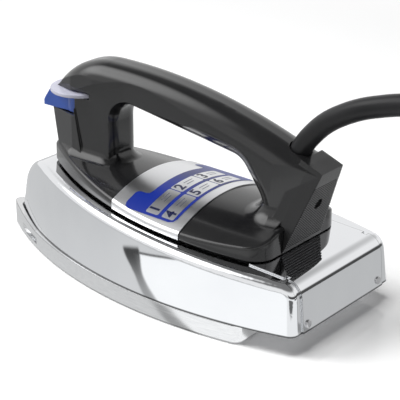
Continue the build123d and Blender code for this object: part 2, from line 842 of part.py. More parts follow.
# Rear cover: ribbed panel, hollow inside, with a boss for its screw
with BuildPart() as cover_hollow:
    add(slab(room_plane, 2 * room_half_width - 2, room_height, -cover_depth - 1, -cover_wall))
    add(bar(pillar_plane, pillar_radius + 1.4, -reach, 0), mode=Mode.SUBTRACT)
with BuildPart() as rear_cover:
    add(loop_with_block)
    split(bisect_by=parting, keep=Keep.TOP)
    add(saddle_form(slack / 2), mode=Mode.SUBTRACT)
    add(cover_hollow.part, mode=Mode.SUBTRACT)
    with BuildSketch(rear_plane):
        with Locations((0, rib_first + rib_pitch * (rib_count - 1) / 2)):
            with GridLocations(0, rib_pitch, 1, rib_count):
                Rectangle(reach, rib_groove)
    extrude(amount=-rib_depth, mode=Mode.SUBTRACT)
    add(bar(pillar_plane, cover_screw_bore, -cover_screw_depth, 4), mode=Mode.SUBTRACT)
    add(bar(pillar_plane, small_shank + free_hole, -cover_depth - 4, 4), mode=Mode.SUBTRACT)
rear_cover.part.label = "rear_cover"
export_step(rear_cover.part, "parts/rear_cover.step")

# Screw of the rear cover
with BuildPart() as rear_cover_screw:
    add(small_screw(pillar_plane, -cover_screw_depth, -room_back + 4))
rear_cover_screw.part.label = "rear_cover_screw"
export_step(rear_cover_screw.part, "parts/rear_cover_screw.step")

# Handle bolts, slotted, sunk in the saddle under the label plate
with BuildPart() as handle_bolts:
    for x in bolt_x:
        add(bar(upright(x, 0), bolt_radius, thread_floor + 1, bolt_seat_z))
        add(bar(upright(x, 0), bolt_head_radius, bolt_seat_z, bolt_seat_z + bolt_head_height))
        add(slab(upright(x, 0), 2 * bolt_head_radius, bolt_slot,
                 bolt_seat_z + bolt_head_height - 1.4, reach), mode=Mode.SUBTRACT)
handle_bolts.part.label = "handle_bolts"
export_step(handle_bolts.part, "parts/handle_bolts.step")

# Spacer tubes that hold the deck off the soleplate, cut to the slope of the deck
with BuildPart() as spacer_tubes:
    for x in bolt_x:
        add(bar(upright(x, 0), spacer_radius, sole_height + boss_height, shell_top))
    split(bisect_by=deck_plane.offset(-sheet), keep=Keep.BOTTOM)
    for x in bolt_x:
        add(bar(upright(x, 0), bolt_radius + free_hole, 0, reach), mode=Mode.SUBTRACT)
spacer_tubes.part.label = "spacer_tubes"
export_step(spacer_tubes.part, "parts/spacer_tubes.step")

# Terminal block in the room of the rear post
block_plane = Plane(origin=on_rear(0, (block_floor + block_top) / 2, 0), x_dir=rear_plane.x_dir,
                    z_dir=rear_plane.z_dir)
terminal_spots = [(x, up) for x in (-4.2, 4.2) for up in (16.0, 21.5)]
core_depth = 18.0
core_x = 5.2
lead_top = on_rear(0, block_floor, core_depth)
with BuildPart() as terminal_block:
    add(slab(block_plane, 2 * block_half_width, block_top - block_floor, -block_back, -block_face))
    for x, up in terminal_spots:
        spot = Plane(origin=on_rear(x, up, 0), x_dir=rear_plane.x_dir, z_dir=rear_plane.z_dir)
        add(bar(spot, small_shank + seat, -block_face - 3.5, 0), mode=Mode.SUBTRACT)
terminal_block.part.label = "terminal_block"
export_step(terminal_block.part, "parts/terminal_block.step")

# Terminal screws
with BuildPart() as terminal_screws:
    for x, up in terminal_spots:
        spot = Plane(origin=on_rear(x, up, 0), x_dir=rear_plane.x_dir, z_dir=rear_plane.z_dir)
        add(bar(spot, small_shank, -block_face - 3, -block_face))
        add(bar(spot, 2.2, -block_face, -block_face + 1.4))
        add(slab(spot, 5, 0.7, -block_face + 0.7, 0), mode=Mode.SUBTRACT)
terminal_screws.part.label = "terminal_screws"
export_step(terminal_screws.part, "parts/terminal_screws.step")


def wire(points, radius, bend):
    """Wire of one radius along straight runs with rounded corners."""
    path = rounded_run(points, [bend] * (len(points) - 2))
    with BuildPart() as made:
        with BuildSketch(Plane(origin=path @ 0, z_dir=path % 0)):
            Circle(radius)
        sweep(path=path)
    return made.part


# Cores of the cord, from its end to the terminal block
guard_up = rear_plane.to_local_coords(Vector(*guard_points[0])).Y
guard_deep = -rear_plane.to_local_coords(Vector(*guard_points[0])).Z
with BuildPart() as cord_cores:
    for side_sign in (1, -1):
        points = [on_rear(side_sign * 1.8, guard_up - 0.5, guard_deep),
                  on_rear(side_sign * 1.8, guard_up - 2.6, guard_deep),
                  on_rear(side_sign * core_x, guard_up - 5.5, core_depth),
                  on_rear(side_sign * core_x, block_top, core_depth)]
        add(wire([(p.X, p.Y, p.Z) for p in points], core_radius, 1.6))
cord_cores.part.label = "cord_cores"
export_step(cord_cores.part, "parts/cord_cores.step")

# Leads from the terminal block down to the pins of the heating element
with BuildPart() as leads:
    for side_sign in (1, -1):
        add(wire([(lead_top.X, side_sign * lead_y, lead_top.Z - lead_radius * tan(rear_angle)),
                  (lead_top.X, side_sign * lead_y, 36),
                  (element_end[0], side_sign * element_end[1], 36),
                  (element_end[0], side_sign * element_end[1], pin_top)], lead_radius, lead_bend))
leads.part.label = "leads"
export_step(leads.part, "parts/leads.step")

# Cord guard: thick sleeve round the cord with a flange that the room of the post holds
guard_radii = bend_radii(guard_points)
guard_run = rounded_run(guard_points, guard_radii)
with BuildPart() as cord_guard:
    with BuildSketch(Plane(origin=guard_run @ 0, z_dir=guard_run % 0)):
        Circle(guard_radius)
        Circle(cord_radius + seat, mode=Mode.SUBTRACT)
    sweep(path=guard_run)
    with BuildSketch(guard_plane):
        Circle(flange_radius)
        Circle(guard_radius - 1, mode=Mode.SUBTRACT)
    extrude(amount=flange_thickness)
cord_guard.part.label = "cord_guard"
export_step(cord_guard.part, "parts/cord_guard.step")

# Cord: inside the guard, over the heel and down to the floor
all_points = guard_points[:-1] + cord_points
cord_radii = guard_radii + bend_radii(all_points)[len(guard_radii):]
cord_run = rounded_run(all_points, cord_radii)
with BuildPart() as cord:
    with BuildSketch(Plane(origin=cord_run @ 0, z_dir=cord_run % 0)):
        Circle(cord_radius)
    sweep(path=cord_run)
cord.part.label = "cord"
export_step(cord.part, "parts/cord.step")
cord_length = tube_length(all_points, cord_radii)
print("cord bend radii", [round(r, 1) for r in cord_radii])
print("cord volume", cord.part.volume, "section by length", pi * cord_radius**2 * cord_length)

# Coil on the floor: inwards on the lower layer, up, and outwards on the upper layer
coil_start = Vector(*cord_points[-1])
coil_centre = coil_start + Vector(2 * cord_radius, coil_radii[0], 0)
coil_ends = []
for index, radius in enumerate(coil_radii):
    side_sign = -1 if index % 2 == 0 else 1
    level = coil_floor if index <= coil_climb else coil_upper
    coil_ends.append(Vector(coil_centre.X, coil_centre.Y + side_sign * radius, level))
coil_arcs = []
with BuildLine() as coil_path:
    Line(coil_start, coil_ends[0])
    for index, (first, second) in enumerate(zip(coil_ends, coil_ends[1:])):
        heading = Vector(1, 0, 0) if index % 2 == 0 else Vector(-1, 0, 0)
        across = second - first
        joint = (first + second) * 0.5 + heading * (across.length / 2)
        coil_arcs.append(TangentArc(first, joint, tangent=heading))
        coil_arcs.append(TangentArc(joint, second, tangent=across))
    coil_tail = coil_ends[-1] + Vector(-coil_tail_length, 0, 0)
    Line(coil_ends[-1], coil_tail)
coil_wire = coil_path.wires()[0]
with BuildPart() as cord_coil:
    with BuildSketch(Plane(origin=coil_wire @ 0, z_dir=coil_wire % 0)):
        Circle(cord_radius)
    sweep(path=coil_wire)
cord_coil.part.label = "cord_coil"
export_step(cord_coil.part, "parts/cord_coil.step")
coil_length = coil_wire.length
print("coil volume", cord_coil.part.volume, "section by length", pi * cord_radius**2 * coil_length)
samples = [(coil_wire @ (i / 600), coil_length * i / 600) for i in range(601)]
nearest = min(
    (first - second).length
    for i, (first, run_first) in enumerate(samples)
    for second, run_second in samples[i + 1:]
    if run_second - run_first > 8 * cord_radius
)
print("coil gap to itself", round(nearest - 2 * cord_radius, 3))
print("cord and coil length", round(cord_length + coil_length, 1))

# Plug at the end of the coil
plug_plane = Plane(origin=coil_tail, x_dir=(0, 1, 0), z_dir=(-1, 0, 0))
with BuildPart() as plug_body:
    with BuildSketch(plug_plane.offset(plug_neck_length)):
        RectangleRounded(2 * plug_half_width, 2 * plug_half_height, plug_round)
    extrude(amount=plug_length)
    fillet(plug_body.faces().sort_by(Axis.X)[-1].edges(), plug_round * 0.6)
    add(bar(plug_plane, plug_neck_radius, 0, plug_neck_length + 1))
    for side_sign in (1, -1):
        blade_plane = plug_plane.shift_origin(
            plug_plane.from_local_coords(Vector(side_sign * blade_spacing / 2, 0, 0)))
        add(slab(blade_plane, blade_thickness + 2 * seat, blade_width + 2 * seat,
                 plug_neck_length + plug_length - blade_root,
                 plug_neck_length + plug_length + 1), mode=Mode.SUBTRACT)
plug_body.part.label = "plug_body"
export_step(plug_body.part, "parts/plug_body.step")

# Plug pins: two flat blades
with BuildPart() as plug_pins:
    for side_sign in (1, -1):
        blade_plane = plug_plane.shift_origin(
            plug_plane.from_local_coords(Vector(side_sign * blade_spacing / 2, 0, 0)))
        add(slab(blade_plane, blade_thickness, blade_width,
                 plug_neck_length + plug_length - blade_root,
                 plug_neck_length + plug_length + blade_length))
    chamfer(plug_pins.faces().sort_by(Axis.X)[:2].edges(), 0.4)
plug_pins.part.label = "plug_pins"
export_step(plug_pins.part, "parts/plug_pins.step")

# Temperature dial: clear disc on the control shaft
with BuildPart() as temperature_dial:
    add(bar(dial_plane, dial_radius, 0, dial_thickness))
    fillet(temperature_dial.edges().filter_by(GeomType.CIRCLE), dial_edge)
    add(bar(dial_plane, shaft_radius + seat, -5, 5), mode=Mode.SUBTRACT)
temperature_dial.part.label = "temperature_dial"
export_step(temperature_dial.part, "parts/temperature_dial.step")

# Dial lever: hub under the disc with a sloping finger tab
with BuildPart() as lever_tab:
    with BuildSketch(Plane.XZ.offset(-lever_half_width)):
        Polygon((dial_x, dial_z - seat), (dial_x - dial_radius + 1, dial_z - seat),
                (dial_x - lever_tip, dial_z - lever_depth + 1.2),
                (dial_x - lever_tip, dial_z - lever_depth), (dial_x, dial_z - lever_depth), align=None)
    extrude(amount=2 * lever_half_width)
    fillet(lever_tab.edges().filter_by(Axis.Z).sort_by(Axis.X)[:2], lever_round)
with BuildPart() as dial_lever:
    add(bar(dial_plane, lever_hub, -lever_depth, -seat))
    add(lever_tab.part)
    add(bar(dial_plane, shaft_radius + seat, -20, 5), mode=Mode.SUBTRACT)
dial_lever.part.label = "dial_lever"
export_step(dial_lever.part, "parts/dial_lever.step")

# Control shaft with the thermostat's slanted cam at its foot
cam_plane = Plane(origin=(dial_x, 0, dial_z + shaft_end),
                  z_dir=(0, sin(radians(cam_slant)), cos(radians(cam_slant))))
with BuildPart() as control_shaft:
    add(bar(dial_plane, shaft_radius, shaft_end, dial_thickness))
    add(bar(dial_plane, cam_radius, shaft_end - cam_height / 2, shaft_end + cam_height))
    split(bisect_by=cam_plane, keep=Keep.TOP)
control_shaft.part.label = "control_shaft"
export_step(control_shaft.part, "parts/control_shaft.step")

# Thermostat bracket: base strip with two ears
pivot_plane = Plane(origin=(pivot_x, 0, pivot_z), x_dir=(1, 0, 0), z_dir=(0, -1, 0))
with BuildPart() as thermostat_bracket:
    with BuildSketch(Plane.XY.offset(sole_height)):
        with Locations(((bracket_front + bracket_rear) / 2, 0)):
            RectangleRounded(bracket_rear - bracket_front, 2 * bracket_half_width, 2)
    extrude(amount=ear_thickness)
    with BuildSketch(Plane.XY.offset(sole_height)):
        for side_sign in (1, -1):
            with Locations((pivot_x, side_sign * (ear_inner + ear_thickness / 2))):
                Rectangle(2 * ear_half_length, ear_thickness)
    extrude(amount=ear_top - sole_height)
    add(bar(pivot_plane, pivot_radius + seat, -20, 20), mode=Mode.SUBTRACT)
    for x in bracket_screw_x:
        add(bar(upright(x, 0), small_shank + free_hole, 0, sole_height + 3), mode=Mode.SUBTRACT)
thermostat_bracket.part.label = "thermostat_bracket"
export_step(thermostat_bracket.part, "parts/thermostat_bracket.step")

# Screws of the bracket
with BuildPart() as bracket_screws:
    for x in bracket_screw_x:
        add(small_screw(upright(x, 0), sole_height + ear_thickness, thread_floor + 1))
bracket_screws.part.label = "bracket_screws"
export_step(bracket_screws.part, "parts/bracket_screws.step")

# Pin that the contact arm swings on
pin_end = ear_inner + ear_thickness
with BuildPart() as arm_pin:
    add(bar(pivot_plane, pivot_radius, -pin_end - 0.8, pin_end + 0.8))
    add(bar(pivot_plane, pivot_radius + 0.9, pin_end, pin_end + 0.8))
    add(bar(pivot_plane, pivot_radius + 0.9, -pin_end - 0.8, -pin_end))
arm_pin.part.label = "arm_pin"
export_step(arm_pin.part, "parts/arm_pin.step")

# Contact arm: lever with a barrel, a follower under the cam and a contact at its other end
with BuildPart() as contact_arm:
    with BuildSketch(Plane.XY.offset(pivot_z - arm_thickness / 2)):
        with Locations(((arm_front + arm_rear) / 2, 0)):
            RectangleRounded(arm_rear - arm_front, 2 * arm_half_width, 2)
    extrude(amount=arm_thickness)
    add(bar(pivot_plane, barrel_radius, -barrel_half_width, barrel_half_width))
    add(bar(upright(follower_x, 0), follower_radius, pivot_z, follower_top))
    add(bar(upright(contact_x, 0), contact_radius, pivot_z - contact_drop - 1, pivot_z))
    add(bar(pivot_plane, pivot_radius + running, -20, 20), mode=Mode.SUBTRACT)
contact_arm.part.label = "contact_arm"
export_step(contact_arm.part, "parts/contact_arm.step")

# Insulator under the fixed contact
with BuildPart() as ceramic_block:
    with BuildSketch(Plane.XY.offset(sole_height)):
        with Locations(((ceramic_front + ceramic_rear) / 2, 0)):
            Rectangle(ceramic_rear - ceramic_front, 2 * ceramic_half_width)
    extrude(amount=ceramic_top - sole_height)
    chamfer(ceramic_block.faces().sort_by(Axis.Z)[-1].edges(), 0.6)
ceramic_block.part.label = "ceramic_block"
export_step(ceramic_block.part, "parts/ceramic_block.step")

# Fixed contact: strip with a button
with BuildPart() as fixed_contact:
    with BuildSketch(Plane.XY.offset(ceramic_top)):
        with Locations(((ceramic_front + ceramic_rear) / 2, 0)):
            Rectangle(ceramic_rear - ceramic_front - 3, ceramic_half_width)
    extrude(amount=strip_thickness)
    add(bar(upright(contact_x, 0), contact_radius, ceramic_top, button_top))
fixed_contact.part.label = "fixed_contact"
export_step(fixed_contact.part, "parts/fixed_contact.step")

# Bimetal blade, flat on the soleplate
with BuildPart() as bimetal_blade:
    with BuildSketch(Plane.XY.offset(sole_height)):
        with Locations(((bimetal_front + bimetal_rear) / 2, bimetal_y)):
            SlotOverall(bimetal_rear - bimetal_front, 2 * bimetal_half_width)
    extrude(amount=bimetal_thickness)
bimetal_blade.part.label = "bimetal_blade"
export_step(bimetal_blade.part, "parts/bimetal_blade.step")
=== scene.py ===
import math

import bmesh
import bpy
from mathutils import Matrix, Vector


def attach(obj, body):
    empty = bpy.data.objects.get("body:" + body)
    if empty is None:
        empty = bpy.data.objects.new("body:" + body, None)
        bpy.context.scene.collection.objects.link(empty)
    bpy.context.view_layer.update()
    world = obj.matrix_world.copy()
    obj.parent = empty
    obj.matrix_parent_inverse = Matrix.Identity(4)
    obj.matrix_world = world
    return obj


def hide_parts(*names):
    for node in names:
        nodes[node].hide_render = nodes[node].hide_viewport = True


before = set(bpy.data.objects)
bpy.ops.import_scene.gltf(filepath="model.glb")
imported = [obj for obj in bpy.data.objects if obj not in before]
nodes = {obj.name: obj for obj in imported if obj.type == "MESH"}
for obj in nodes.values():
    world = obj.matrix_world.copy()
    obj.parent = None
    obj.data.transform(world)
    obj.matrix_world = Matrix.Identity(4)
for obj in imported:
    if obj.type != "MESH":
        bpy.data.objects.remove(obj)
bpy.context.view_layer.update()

scene = bpy.context.scene
scene.view_settings.view_transform = "Standard"


# Camera

camera_data = bpy.data.cameras.new("camera")
camera_data.lens = 142.6
camera_data.sensor_width = 36.0
camera_data.sensor_fit = "HORIZONTAL"
camera = bpy.data.objects.new("camera", camera_data)
scene.collection.objects.link(camera)
camera.location = (0.54997, -0.67302, 0.39795)
camera_aim = Vector((0.02339, 0.0, 0.05074))
camera.rotation_euler = (camera_aim - camera.location).to_track_quat("-Z", "Y").to_euler()
scene.camera = camera


# Helpers for shader nodes

def new_material(name):
    """New material with its node tree and Principled shader."""
    material = bpy.data.materials.new(name)
    material.use_nodes = True
    tree = material.node_tree
    shader = tree.nodes["Principled BSDF"]
    return material, tree, shader


def add_node(tree, kind, **settings):
    """One node with its settings and input values."""
    node = tree.nodes.new(kind)
    for key, value in settings.items():
        if key in node.inputs:
            node.inputs[key].default_value = value
        else:
            setattr(node, key, value)
    return node


def object_coords(tree, scale=(1.0, 1.0, 1.0)):
    """Object coordinates, stretched along the axes."""
    coords = add_node(tree, "ShaderNodeTexCoord")
    mapping = add_node(tree, "ShaderNodeMapping", Scale=scale)
    tree.links.new(coords.outputs["Object"], mapping.inputs["Vector"])
    return mapping.outputs["Vector"]


def split_xyz(tree, vector):
    """The X, Y and Z of a vector."""
    node = add_node(tree, "ShaderNodeSeparateXYZ")
    tree.links.new(vector, node.inputs["Vector"])
    return node.outputs


def noise(tree, vector, scale, detail=3.0):
    """Noise over a vector."""
    node = add_node(tree, "ShaderNodeTexNoise", Scale=scale, Detail=detail)
    tree.links.new(vector, node.inputs["Vector"])
    return node.outputs["Fac"]


def ramp(tree, value, stops):
    """Colour ramp: a list of places and grey values or colours."""
    node = add_node(tree, "ShaderNodeValToRGB")
    while len(node.color_ramp.elements) < len(stops):
        node.color_ramp.elements.new(0.5)
    for element, (place, colour) in zip(node.color_ramp.elements, stops):
        element.position = place
        if isinstance(colour, (int, float)):
            colour = (colour, colour, colour)
        element.color = (colour[0], colour[1], colour[2], 1.0)
    tree.links.new(value, node.inputs["Fac"])
    return node.outputs["Color"]


def math_node(tree, operation, first, second=0.0):
    """Result of an operation on one or two numbers or links."""
    node = add_node(tree, "ShaderNodeMath", operation=operation)
    for socket, value in zip(node.inputs, (first, second)):
        if isinstance(value, (int, float)):
            socket.default_value = value
        else:
            tree.links.new(value, socket)
    return node.outputs[0]


def product(tree, first, *others):
    """Product of links and numbers."""
    for other in others:
        first = math_node(tree, "MULTIPLY", first, other)
    return first


def distance_along(tree, first, second, way):
    """How far a point lies along a direction in a plane, from its two coordinates."""
    return math_node(tree, "ADD", product(tree, first, way[0]), product(tree, second, way[1]))


def smooth(tree, value, low, high, at_low=0.0, at_high=1.0):
    """Smooth change from one value to another, between two places."""
    node = add_node(tree, "ShaderNodeMapRange", interpolation_type="SMOOTHSTEP")
    tree.links.new(value, node.inputs["Value"])
    node.inputs["From Min"].default_value = low
    node.inputs["From Max"].default_value = high
    node.inputs["To Min"].default_value = at_low
    node.inputs["To Max"].default_value = at_high
    return node.outputs["Result"]


def rounded_normal(tree, radius):
    """Normal with the edges softened by a radius."""
    node = add_node(tree, "ShaderNodeBevel", samples=6, Radius=radius)
    return node.outputs["Normal"]


def surface(tree, shader, height, strength, distance, edge):
    """Bump from a height value, over edges that are softened by a radius."""
    node = add_node(tree, "ShaderNodeBump", Strength=strength, Distance=distance)
    tree.links.new(height, node.inputs["Height"])
    if edge:
        tree.links.new(rounded_normal(tree, edge), node.inputs["Normal"])
    tree.links.new(node.outputs["Normal"], shader.inputs["Normal"])


# Kinds of material

# Depth of the bump
metal_bump = 0.0004
moulded_bump = 0.0002

# Scale of the broad variation in a moulding, as a share of the scale of its fine skin
broad_share = 0.04

# Painted dark edges, a painted reflection of the dark room where a metal turns sharply: how far the
# softened normal agrees with the true one where they are darkest and where they end, and the height over
# which a dark foot of painted contact shadow fades
sharp_turn = 0.82
no_turn = 0.98
foot_fade = 0.0006


def metal(name, dark, light, rough, grain_scale, relief, grain=(1.0, 1.0, 1.0), edge=0.0):
    """Metal whose colour and roughness vary a little with a stretched grain."""
    material, tree, shader = new_material(name)
    spread = noise(tree, object_coords(tree, grain), grain_scale)
    tree.links.new(ramp(tree, spread, [(0.25, dark), (0.75, light)]), shader.inputs["Base Color"])
    tree.links.new(ramp(tree, spread, [(0.2, rough[0]), (0.8, rough[1])]), shader.inputs["Roughness"])
    shader.inputs["Metallic"].default_value = 1.0
    surface(tree, shader, spread, relief, metal_bump, edge)
    return material


def moulded(name, dark, light, rough, scale, relief, coat=0.0, edge=0.0):
    """Moulded plastic, rubber or ink with a fine skin."""
    material, tree, shader = new_material(name)
    vector = object_coords(tree)
    broad = noise(tree, vector, scale * broad_share)
    fine = noise(tree, vector, scale, detail=4.0)
    tree.links.new(ramp(tree, broad, [(0.3, dark), (0.7, light)]), shader.inputs["Base Color"])
    tree.links.new(ramp(tree, broad, [(0.25, rough[0]), (0.75, rough[1])]), shader.inputs["Roughness"])
    shader.inputs["Coat Weight"].default_value = coat
    shader.inputs["Coat Roughness"].default_value = 0.05
    surface(tree, shader, fine, relief, moulded_bump, edge)
    return material


def clear(name, dark, light, rough):
    """Tinted plastic that lets some light through."""
    material, tree, shader = new_material(name)
    shader.inputs["Transmission Weight"].default_value = 0.35
    shader.inputs["IOR"].default_value = 1.49
    spread = noise(tree, object_coords(tree), scale=60.0)
    tree.links.new(ramp(tree, spread, [(0.3, dark), (0.7, light)]), shader.inputs["Base Color"])
    tree.links.new(ramp(tree, spread, [(0.3, rough[0]), (0.7, rough[1])]), shader.inputs["Roughness"])
    return material


def dark_edges(material, radius, shade, foot):
    """Paint shade on a metal: a painted reflection of dark surroundings where it turns sharply, and a
    painted contact shadow along its foot.
    """
    tree = material.node_tree
    base_colour = tree.nodes["Principled BSDF"].inputs["Base Color"]
    flat = add_node(tree, "ShaderNodeNewGeometry")
    turn = add_node(tree, "ShaderNodeVectorMath", operation="DOT_PRODUCT")
    tree.links.new(rounded_normal(tree, radius), turn.inputs[0])
    tree.links.new(flat.outputs["Normal"], turn.inputs[1])
    painted_edge_reflection = smooth(tree, turn.outputs["Value"], sharp_turn, no_turn, shade, 1.0)
    height = split_xyz(tree, object_coords(tree))["Z"]
    painted_foot_shadow = smooth(tree, height, foot, foot + foot_fade, shade, 1.0)
    scaled = add_node(tree, "ShaderNodeVectorMath", operation="SCALE")
    tree.links.new(base_colour.links[0].from_socket, scaled.inputs[0])
    tree.links.new(product(tree, painted_edge_reflection, painted_foot_shadow), scaled.inputs["Scale"])
    tree.links.new(scaled.outputs["Vector"], base_colour)


# Ribs of the rear cover, whose tops get a painted highlight, in X and Z: the foot of its face, the way up
# it, and the ribs along that way.
# A rib's painted highlight begins and is full at the two values of rib_top, in a wave with one period for
# each rib.
# The sides of the cover begin where the Y of the normal passes the values of side_turn.
rear_foot = (0.095, 0.042)
rear_rise = (0.3698, 0.9291)
rib_first = 0.004
rib_pitch = 0.0015
rib_count = 27
rib_top = (0.2, -0.9)
rib_end = (rib_pitch * (rib_count - 0.4), rib_pitch * (rib_count - 0.5))
side_turn = (0.3, 0.6)


def worn_ribs(material, colour):
    """Paint a lighter colour on the tops of the ribs as a painted highlight, and leave the sides of the
    cover as they are.
    """
    tree = material.node_tree
    base_colour = tree.nodes["Principled BSDF"].inputs["Base Color"]
    place = split_xyz(tree, object_coords(tree))
    up_face = distance_along(tree, place["X"], place["Z"], rear_rise)
    foot_up = rear_foot[0] * rear_rise[0] + rear_foot[1] * rear_rise[1]
    up_face = math_node(tree, "SUBTRACT", up_face, foot_up + rib_first)
    wave = math_node(tree, "COSINE", product(tree, up_face, 2 * math.pi / rib_pitch))
    facing = add_node(tree, "ShaderNodeNewGeometry")
    sideways = math_node(tree, "ABSOLUTE", split_xyz(tree, facing.outputs["Normal"])["Y"])
    rib_highlight = product(tree, smooth(tree, wave, *rib_top), smooth(tree, up_face, *rib_end),
                   smooth(tree, sideways, *side_turn, 1.0, 0.0))
    mix = add_node(tree, "ShaderNodeMix", data_type="RGBA")
    tree.links.new(rib_highlight, mix.inputs["Factor"])
    tree.links.new(base_colour.links[0].from_socket, mix.inputs["A"])
    mix.inputs["B"].default_value = colour
    tree.links.new(mix.outputs["Result"], base_colour)


# Materials of the iron

chrome = metal("chrome", dark=(0.78, 0.79, 0.81), light=(0.83, 0.84, 0.855), rough=(0.02, 0.05),
               grain_scale=25.0, relief=0.0, edge=0.0005)
# Painted reflection of the dark room at the chrome's sharp turns, and painted contact shadow where it sits
# on the soleplate
dark_edges(chrome, radius=0.0011, shade=0.18, foot=0.0116)
sole_metal = metal("sole_metal", dark=(0.72, 0.725, 0.735), light=(0.82, 0.825, 0.83), rough=(0.14, 0.22),
                   grain_scale=18.0, relief=0.04, grain=(4.0, 60.0, 60.0), edge=0.0005)
# Painted reflection of the dark room at the soleplate's sharp edges, and painted contact shadow along its
# foot on the floor
dark_edges(sole_metal, radius=0.0012, shade=0.45, foot=0.0007)
steel = metal("steel", dark=(0.52, 0.52, 0.53), light=(0.66, 0.66, 0.67), rough=(0.22, 0.36),
              grain_scale=400.0, relief=0.05)
brass = metal("brass", dark=(0.62, 0.43, 0.16), light=(0.74, 0.55, 0.24), rough=(0.2, 0.34),
              grain_scale=300.0, relief=0.04)
label_sheet = metal("label_sheet", dark=(0.78, 0.785, 0.80), light=(0.80, 0.805, 0.82), rough=(0.27, 0.30),
                    grain_scale=20.0, relief=0.0, grain=(2.0, 12.0, 2.0))

black_plastic = moulded("black_plastic", dark=(0.007, 0.007, 0.0075), light=(0.011, 0.011, 0.0115),
                        rough=(0.12, 0.18), scale=900.0, relief=0.012, coat=0.15, edge=0.0009)
cover_plastic = moulded("cover_plastic", dark=(0.008, 0.008, 0.0085), light=(0.012, 0.012, 0.0125),
                        rough=(0.2, 0.28), scale=900.0, relief=0.03, edge=0.00015)
# Painted highlight on the rib tops of the rear cover
worn_ribs(cover_plastic, (0.085, 0.085, 0.088, 1.0))
blue_plastic = moulded("blue_plastic", dark=(0.012, 0.055, 0.30), light=(0.022, 0.085, 0.40),
                       rough=(0.14, 0.22), scale=700.0, relief=0.02, coat=0.3, edge=0.0005)
clear_plastic = clear("clear_plastic", dark=(0.62, 0.62, 0.74), light=(0.7, 0.7, 0.8), rough=(0.12, 0.2))

black_rubber = moulded("black_rubber", dark=(0.010, 0.010, 0.010), light=(0.018, 0.018, 0.018),
                       rough=(0.4, 0.55), scale=1500.0, relief=0.08)
cord_rubber = moulded("cord_rubber", dark=(0.012, 0.012, 0.013), light=(0.018, 0.018, 0.019),
                      rough=(0.28, 0.4), scale=1200.0, relief=0.05)
cord_rubber.node_tree.nodes["Principled BSDF"].inputs["Specular IOR Level"].default_value = 0.2
ceramic = moulded("ceramic", dark=(0.76, 0.74, 0.69), light=(0.84, 0.82, 0.77), rough=(0.4, 0.55),
                  scale=700.0, relief=0.05)
wire_skin = moulded("wire_skin", dark=(0.6, 0.59, 0.55), light=(0.7, 0.69, 0.65), rough=(0.4, 0.5),
                    scale=900.0, relief=0.05)

blue_print = moulded("blue_print", dark=(0.005, 0.022, 0.24), light=(0.008, 0.028, 0.29),
                     rough=(0.3, 0.36), scale=300.0, relief=0.0)
dark_print = moulded("dark_print", dark=(0.004, 0.007, 0.04), light=(0.007, 0.011, 0.06),
                     rough=(0.3, 0.36), scale=300.0, relief=0.0)
grey_print = moulded("grey_print", dark=(0.16, 0.17, 0.23), light=(0.20, 0.21, 0.27),
                     rough=(0.3, 0.4), scale=300.0, relief=0.0)

node_materials = {
    chrome: ("shell", "heel_plate"),
    sole_metal: ("soleplate",),
    steel: ("heating_element", "heel_rivets", "bottom_cover", "bottom_cover_screws", "rear_cover_screw",
            "handle_bolts", "spacer_tubes", "control_shaft", "thermostat_bracket", "bracket_screws",
            "arm_pin", "bimetal_blade"),
    brass: ("terminal_screws", "contact_arm", "fixed_contact", "plug_pins"),
    black_plastic: ("handle",),
    cover_plastic: ("rear_cover",),
    black_rubber: ("handle_gasket",),
    cord_rubber: ("cord_guard", "cord", "cord_coil", "plug_body"),
    ceramic: ("ceramic_block", "terminal_block"),
    wire_skin: ("leads", "cord_cores"),
    blue_plastic: ("dial_lever",),
    label_sheet: ("label_plate",),
    clear_plastic: ("temperature_dial",),
}
for material, names in node_materials.items():
    for name in names:
        mesh = nodes[name].data
        mesh.materials.clear()
        mesh.materials.append(material)


# Cord: one smooth line from inside the guard to the plug

cord_route = [
    (0.0875, 0.0, 0.084),
    (0.0945, 0.0, 0.1015),
    (0.1088, 0.0, 0.1173),
    (0.129, 0.0, 0.1288),
    (0.153, 0.0, 0.1362),
    (0.190, 0.0, 0.142626),
    (0.222, 0.0, 0.137),
    (0.246, -0.004, 0.114),
    (0.258, -0.014, 0.082),
    (0.266, -0.028, 0.050),
    (0.280, -0.041, 0.022),
    (0.305, -0.049, 0.007),
    (0.336, -0.052, 0.0038),
    (0.366, -0.052, 0.0038),
]

# Coil: inwards on the lower layer, up in one half turn, and outwards on the upper layer
coil_radii = (0.052, 0.0479, 0.0438, 0.0397, 0.0356, 0.0315, 0.0397, 0.0438, 0.0479, 0.052)
coil_centre = (0.3735, 0.0)
coil_low = 0.0038
coil_high = 0.0119
coil_climb = 4
coil_tail = (0.010, 0.032)
points_per_half = 7
for index, (radius, next_radius) in enumerate(zip(coil_radii, coil_radii[1:])):
    side = -1 if index % 2 == 0 else 1
    middle = coil_centre[1] + side * (radius - next_radius) / 2
    reach = (radius + next_radius) / 2 / math.cos(math.pi / (2 * points_per_half))
    for step in range(points_per_half):
        turn = (step + 0.5) / points_per_half
        climbed = min(max(index + turn - coil_climb, 0.0), 1.0)
        x = coil_centre[0] - side * reach * math.sin(math.pi * turn)
        y = middle + side * reach * math.cos(math.pi * turn)
        cord_route.append((x, y, coil_low + (coil_high - coil_low) * climbed))
for run in coil_tail:
    cord_route.append((coil_centre[0] - run, coil_centre[1] + coil_radii[-1], coil_high))

